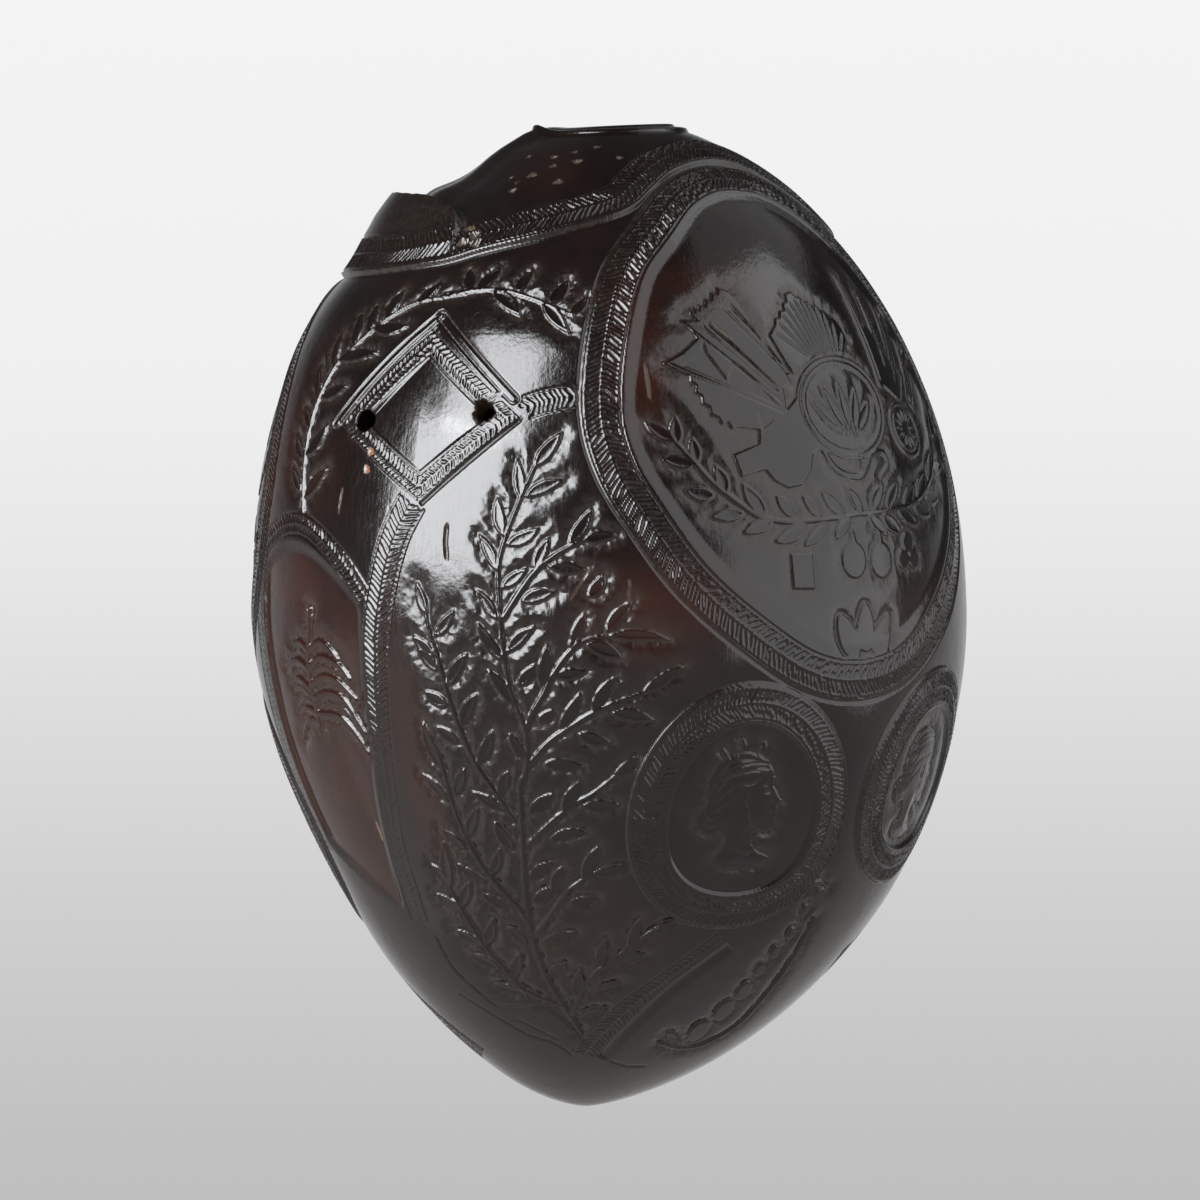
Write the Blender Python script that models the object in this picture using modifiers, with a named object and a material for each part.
"""Rattle head carved from one coconut shell, with the loose seeds that make it sound.

Frame: metres, +Z up. The origin is the centre of the mouth's flat rim. The shell hangs
below it along -Z, down to its blunt point, and the carved lozenge with the two drilled
holes faces the front left (-Y, towards -X). Angles round the shell are counted from the
front (-Y), positive towards +X.
"""

import math

import bmesh
import bpy
import numpy as np
from mathutils import Matrix, Vector

# Driving dimensions, in metres.
BELLY_RADIUS = 0.0493        # widest radius of the uncarved outside
BELLY_Z = -0.066             # height of the widest section
POINT_Z = -0.135             # blunt point at the bottom
CROWN_Z = 0.0016             # where the outside would close above the mouth
LOWER_CURVE = (1.9, 0.635)   # exponents of the outline below the belly
UPPER_CURVE = (2.2, 0.57)    # exponents of the outline above the belly
WALL = 0.004                 # thickness of the shell
MOUTH_RADIUS = 0.007         # round hole in the crown
RIM_TILT = math.radians(2.6)  # the rim is cut slightly askew, higher towards +X

HOLE_RADIUS = 0.0016         # the two drilled holes of the lozenge
HOLES = ((math.radians(-45.0), -0.0408), (math.radians(-20.9), -0.0396))  # angle, height

LUMP_HEIGHT = 0.0022         # natural lump under the crown, on the left
LUMP_ANGLE = math.radians(-88.0)
LUMP_Z = -0.0088
LUMP_SPREAD_ANGLE = math.radians(26.0)
LUMP_SPREAD_BELOW = 0.0058
LUMP_SPREAD_ABOVE = 0.003

SEED_RADIUS = 0.003
SEED_PITCH = 0.0067          # distance between neighbouring seeds in plan
GAP = 0.0003                 # clearance between pieces that rest on each other

# Resolution of the solids.
TURN_STEPS = 64
OUTLINE_STEPS = 13           # points on each half of the outline
SEED_SEGMENTS = 12
SEED_RINGS = 8

# The shell grew a little lopsided: its centre line wanders along X.
# Heights, and the offset there; the smooth curve through them ends under the mouth.
CENTRE_LINE = ((-0.135, -0.0046), (-0.128, -0.0025), (-0.118, -0.0011), (-0.104, -0.0003),
               (-0.080, -0.0010), (-0.052, -0.0018), (-0.026, -0.0024), (-0.010, -0.0014),
               (0.0, 0.0))


def outline_radius(z):
    """Radius of the uncarved outside at height z, on both sides of the belly."""
    if z < BELLY_Z:
        share, (bow, close) = (BELLY_Z - z) / (BELLY_Z - POINT_Z), LOWER_CURVE
    else:
        share, (bow, close) = (z - BELLY_Z) / (CROWN_Z - BELLY_Z), UPPER_CURVE
    return BELLY_RADIUS * max(0.0, 1.0 - min(share, 1.0) ** bow) ** close


def centre_slope(number):
    """Slope of the centre line at one of its points: that of the chord past it."""
    (low, start), (high, end) = (CENTRE_LINE[max(number - 1, 0)],
                                 CENTRE_LINE[min(number + 1, len(CENTRE_LINE) - 1)])
    return (end - start) / (high - low)


def centre_offset(z):
    """Offset of the centre line along X at height z, on a cubic between its points."""
    last = len(CENTRE_LINE) - 2
    number = next((i for i in range(last) if z <= CENTRE_LINE[i + 1][0]), last)
    (low, start), (high, end) = CENTRE_LINE[number], CENTRE_LINE[number + 1]
    rise = high - low
    t = min(1.0, max(0.0, (z - low) / rise))
    leave, arrive = centre_slope(number) * rise, centre_slope(number + 1) * rise
    return (start * (1 + 2 * t) * (1 - t) ** 2 + leave * t * (1 - t) ** 2
            + end * t * t * (3 - 2 * t) - arrive * t * t * (1 - t))


def outline_heights(top):
    """Heights from top down to the point, closer together where the outline turns."""
    upper = [math.sin(math.pi / 2 * i / OUTLINE_STEPS) for i in range(OUTLINE_STEPS + 1)]
    above = [BELLY_Z + (top - BELLY_Z) * share for share in reversed(upper)]
    below = [BELLY_Z + (POINT_Z - BELLY_Z) * share for share in upper]
    return above + below[1:]


def surface_point(angle, z):
    """Point of the uncarved outside at an angle round the shell and a height."""
    radius = outline_radius(z)
    return Vector((centre_offset(z) + radius * math.sin(angle),
                   -radius * math.cos(angle), z))


def surface_normal(angle, z):
    """Outward normal there, from two short chords."""
    step_angle, step_z = math.radians(0.5), 0.0002
    round_ = surface_point(angle + step_angle, z) - surface_point(angle - step_angle, z)
    upward = surface_point(angle, z + step_z) - surface_point(angle, z - step_z)
    return round_.cross(upward).normalized()


def lump(angle, z):
    """How far the natural lump stands out of the turned outline, along the normal."""
    aside = (angle - LUMP_ANGLE + math.pi) % math.tau - math.pi
    spread = LUMP_SPREAD_BELOW if z < LUMP_Z else LUMP_SPREAD_ABOVE
    return LUMP_HEIGHT * math.exp(-(aside / LUMP_SPREAD_ANGLE) ** 2
                                  - ((z - LUMP_Z) / spread) ** 2)


def surface_samples():
    """Points spread over the whole uncarved outside, as an array of x, y, z."""
    heights = [POINT_Z + (CROWN_Z - POINT_Z) * (1 - math.cos(math.pi * i / 160)) / 2
               for i in range(161)]
    angles = [math.tau * i / 120 for i in range(120)]
    return np.array([surface_point(a, z) for z in heights for a in angles])


def clear_scene():
    for obj in list(bpy.data.objects):
        bpy.data.objects.remove(obj, do_unlink=True)


def new_collection(name):
    collection = bpy.data.collections.new(name)
    bpy.context.scene.collection.children.link(collection)
    return collection


def material(name, colour, roughness):
    made = bpy.data.materials.new(name)
    made.use_nodes = True
    shader = made.node_tree.nodes["Principled BSDF"]
    shader.inputs["Base Color"].default_value = (*colour, 1.0)
    shader.inputs["Roughness"].default_value = roughness
    shader.inputs["Metallic"].default_value = 0.0
    return made


def object_from(bm, name, collection):
    mesh = bpy.data.meshes.new(name)
    bm.to_mesh(mesh)
    bm.free()
    obj = bpy.data.objects.new(name, mesh)
    collection.objects.link(obj)
    return obj


def turned(name, points, collection):
    """Surface of revolution round Z from a profile of (radius, height), top to bottom."""
    mesh = bpy.data.meshes.new(name)
    verts = [(radius, 0.0, z) for radius, z in points]
    mesh.from_pydata(verts, [(i, i + 1) for i in range(len(verts) - 1)], [])
    obj = bpy.data.objects.new(name, mesh)
    collection.objects.link(obj)
    screw = obj.modifiers.new("turn", "SCREW")
    screw.axis = "Z"
    screw.steps = screw.render_steps = TURN_STEPS
    screw.use_merge_vertices = True
    screw.merge_threshold = 0.0001
    return obj


def apply_modifiers(obj):
    graph = bpy.context.evaluated_depsgraph_get()
    mesh = bpy.data.meshes.new_from_object(obj.evaluated_get(graph))
    obj.modifiers.clear()
    obj.data = mesh


def cutter(bm, name, collection, matrix):
    obj = object_from(bm, name, collection)
    obj.data.transform(matrix)
    obj.hide_render = True
    obj.display_type = "WIRE"
    return obj


def cut(target, tool):
    boolean = target.modifiers.new(tool.name, "BOOLEAN")
    boolean.operation = "DIFFERENCE"
    boolean.solver = "EXACT"
    boolean.object = tool


def shell_surface(collection):
    """The open outside surface, from inside the mouth's edge down to the point."""
    top = CROWN_Z - 0.0004
    points = [(outline_radius(z), z) for z in outline_heights(top)]
    points[-1] = (0.0, POINT_Z)
    shell = turned("carved_shell", points, collection)
    apply_modifiers(shell)
    for vertex in shell.data.vertices:
        angle, z = math.atan2(vertex.co.x, -vertex.co.y), vertex.co.z
        vertex.co.x += centre_offset(z)
        if z > BELLY_Z:
            vertex.co += lump(angle, z) * surface_normal(angle, z)
    return shell


def make_shell(parts, cutters):
    """Hollow shell with a flat rim, an open mouth and the two drilled holes."""
    shell = shell_surface(parts)
    wall = shell.modifiers.new("wall", "SOLIDIFY")
    wall.thickness = WALL
    wall.offset = -1.0
    wall.use_even_offset = True

    above = bmesh.new()
    bmesh.ops.create_cube(above, size=0.04)
    lift = Matrix.Rotation(-RIM_TILT, 4, "Y") @ Matrix.Translation((0.0, 0.0, 0.02))
    cut(shell, cutter(above, "rim_cut", cutters, lift))

    bore = bmesh.new()
    bmesh.ops.create_cone(bore, cap_ends=True, segments=TURN_STEPS,
                          radius1=MOUTH_RADIUS, radius2=MOUTH_RADIUS, depth=0.02)
    cut(shell, cutter(bore, "mouth_cut", cutters, Matrix.Identity(4)))

    for number, (angle, z) in enumerate(HOLES, start=1):
        drill = bmesh.new()
        bmesh.ops.create_cone(drill, cap_ends=True, segments=16, radius1=HOLE_RADIUS,
                              radius2=HOLE_RADIUS, depth=4 * WALL)
        aim = surface_normal(angle, z).to_track_quat("Z", "Y").to_matrix().to_4x4()
        place = Matrix.Translation(surface_point(angle, z)) @ aim
        cut(shell, cutter(drill, f"drill_{number}", cutters, place))

    shell.data.materials.append(material("polished_shell", (0.035, 0.018, 0.013), 0.3))
    shell.data.shade_smooth()
    shell.data.set_sharp_from_angle(angle=math.radians(35))
    return shell


def seed_places():
    """Where the seeds lie in plan: one on the point, six round it, twelve round those."""
    centre = centre_offset(POINT_Z + 2 * WALL)
    places = [(centre, 0.0)]
    for q in range(-2, 3):
        for r in range(-2, 3):
            if (q, r) == (0, 0) or abs(q + r) > 2:
                continue
            places.append((centre + SEED_PITCH * (q + r / 2),
                           SEED_PITCH * r * math.sqrt(3) / 2))
    centre_first = sorted(places, key=lambda p: (round(math.hypot(p[0] - centre, p[1]), 5),
                                                 round(math.atan2(p[1], p[0] - centre), 5)))
    return centre_first


def resting_height(x, y, samples):
    """Height of a seed's centre when it rests in the hollow over that place."""
    reach = WALL + SEED_RADIUS + GAP
    lower = samples[samples[:, 2] < BELLY_Z]
    aside = reach ** 2 - (lower[:, 0] - x) ** 2 - (lower[:, 1] - y) ** 2
    near = aside > 0.0
    return float(np.max(lower[near, 2] + np.sqrt(aside[near])))


def make_seeds(parts):
    coat = material("seed_coat", (0.045, 0.028, 0.02), 0.35)
    samples = surface_samples()
    seeds = []
    for number, (x, y) in enumerate(seed_places(), start=1):
        ball = bmesh.new()
        bmesh.ops.create_uvsphere(ball, u_segments=SEED_SEGMENTS, v_segments=SEED_RINGS,
                                  radius=SEED_RADIUS)
        seed = object_from(ball, f"rattle_seed_{number:02d}", parts)
        seed.location = (x, y, resting_height(x, y, samples))
        seed.data.materials.append(coat)
        seed.data.shade_smooth()
        seeds.append(seed)
    return seeds


def main():
    clear_scene()
    parts = new_collection("coconut_rattle_head")
    cutters = new_collection("cutters")
    make_shell(parts, cutters)
    make_seeds(parts)


main()
